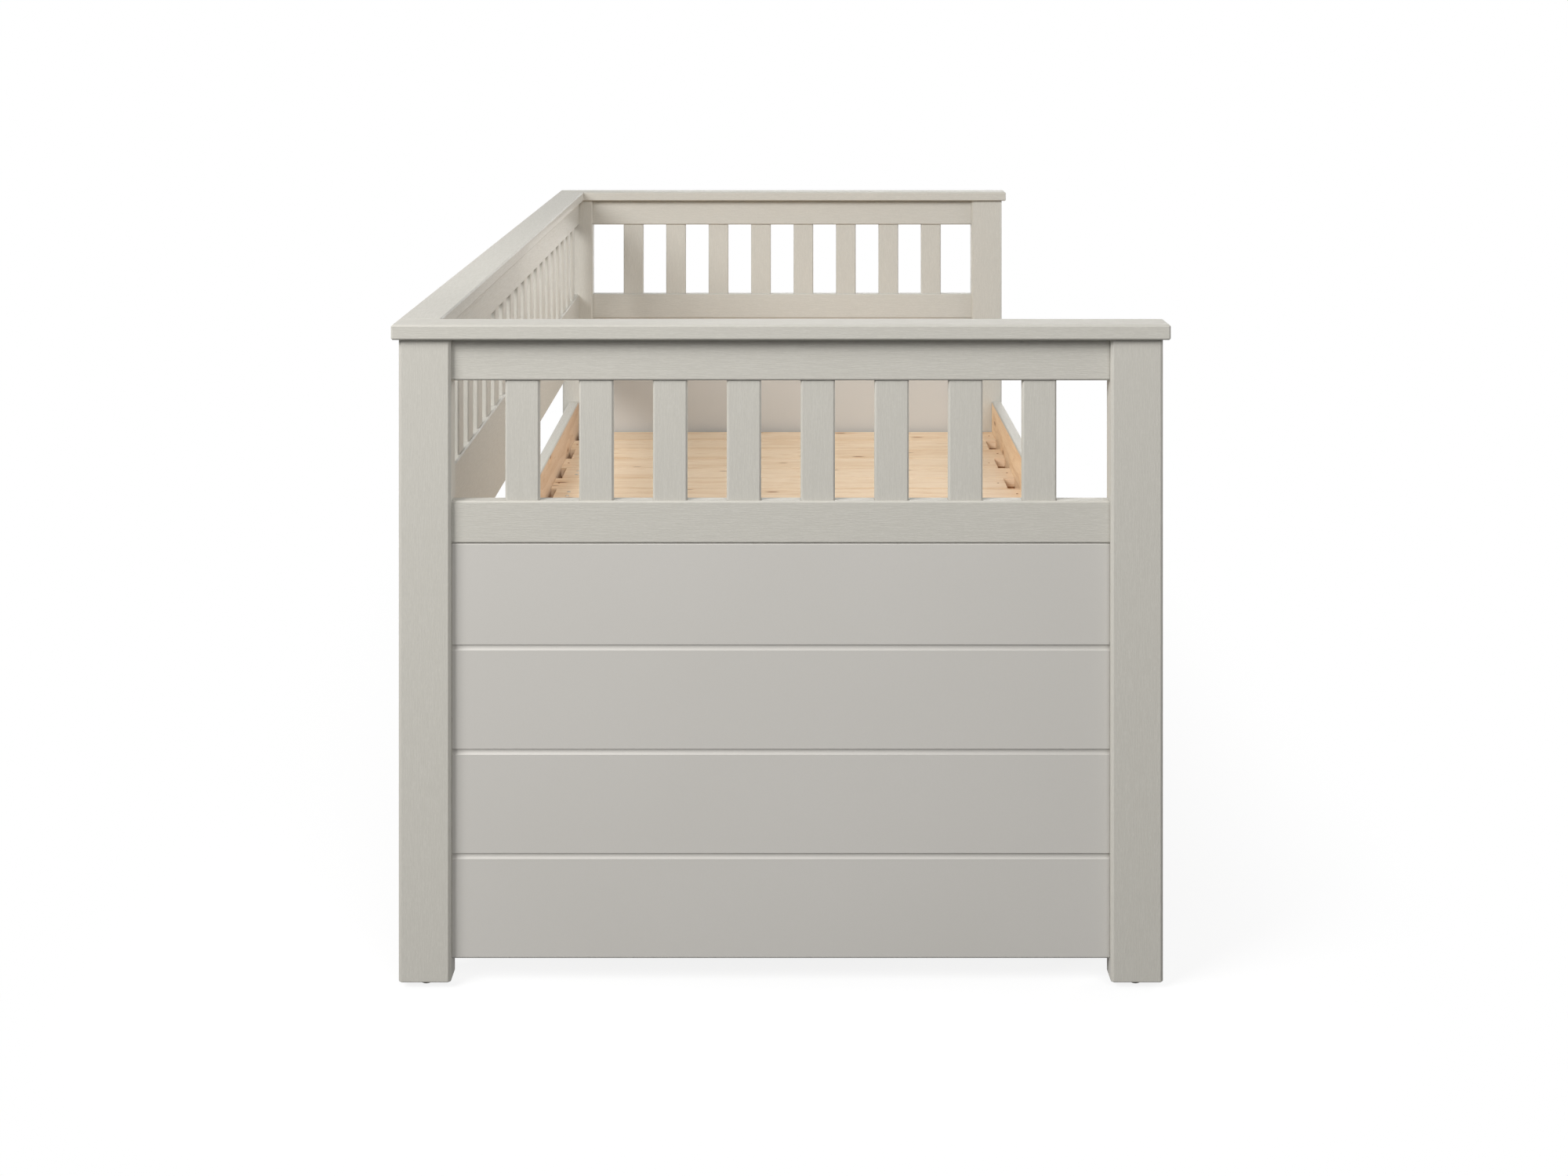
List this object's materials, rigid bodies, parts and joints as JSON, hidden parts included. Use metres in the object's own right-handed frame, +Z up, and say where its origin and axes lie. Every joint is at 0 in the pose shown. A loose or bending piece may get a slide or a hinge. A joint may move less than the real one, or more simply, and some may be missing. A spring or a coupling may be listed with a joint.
{
  "type": "pull-out daybed",
  "caption": "Painted timber daybed with slatted back and ends, grooved end panels and a slatted base whose front rail slides out to widen the bed.",
  "frame": {"origin": "on the floor under the middle of the closed bed's box", "axes": "+X to the open front, the way the base pulls out; +Y along the bed to its right end; +Z up"},
  "size_m": [1.017, 2.117, 0.869],
  "materials": {
    "painted_timber": "matt warm grey paint on brushed open-grained timber",
    "painted_panel": "smooth matt warm grey paint on fibreboard",
    "pine": "planed bare pine with knots",
    "glide": "dark moulded glide",
    "bracket_steel": "zinc-plated sheet steel"
  },
  "bodies": {
    "daybed_frame": {"back_cap": "painted_timber", "back_lower_rail": "painted_timber", "back_slats": "painted_timber", "back_top_rail": "painted_timber", "fixed_slat_01": "pine", "fixed_slat_02": "pine", "fixed_slat_03": "pine", "fixed_slat_04": "pine", "fixed_slat_05": "pine", "fixed_slat_06": "pine", "fixed_slat_07": "pine", "fixed_slat_08": "pine", "fixed_slat_09": "pine", "fixed_slat_10": "pine", "fixed_tie_batten": "pine", "left_end_cap": "painted_timber", "left_end_lower_rail": "painted_timber", "left_end_panel": "painted_panel", "left_end_slats": "painted_timber", "left_end_top_rail": "painted_timber", "left_front_post": "painted_timber", "left_rear_post": "painted_timber", "left_support_leg": "painted_timber", "post_glides": "glide", "rail_brackets": "bracket_steel", "rear_ledger": "pine", "rear_side_rail": "painted_timber", "right_end_cap": "painted_timber", "right_end_lower_rail": "painted_timber", "right_end_panel": "painted_panel", "right_end_slats": "painted_timber", "right_end_top_rail": "painted_timber", "right_front_post": "painted_timber", "right_rear_post": "painted_timber", "right_support_leg": "painted_timber", "support_leg_glides": "glide"},
    "pull_out_frame": {"front_ledger": "pine", "front_rail": "painted_timber", "left_pull_out_leg": "painted_timber", "middle_pull_out_leg": "painted_timber", "pull_out_leg_glides": "glide", "pull_out_slat_01": "pine", "pull_out_slat_02": "pine", "pull_out_slat_03": "pine", "pull_out_slat_04": "pine", "pull_out_slat_05": "pine", "pull_out_slat_06": "pine", "pull_out_slat_07": "pine", "pull_out_slat_08": "pine", "pull_out_slat_09": "pine", "pull_out_slat_10": "pine", "pull_out_slat_11": "pine", "pull_out_tie_batten": "pine", "right_pull_out_leg": "painted_timber"}
  },
  "joints": [
    {"name": "pull_out_slide", "type": "slide", "parent": "daybed_frame", "child": "pull_out_frame", "axis": [1, 0, 0], "range_m": [0, 0.82]}
  ]
}
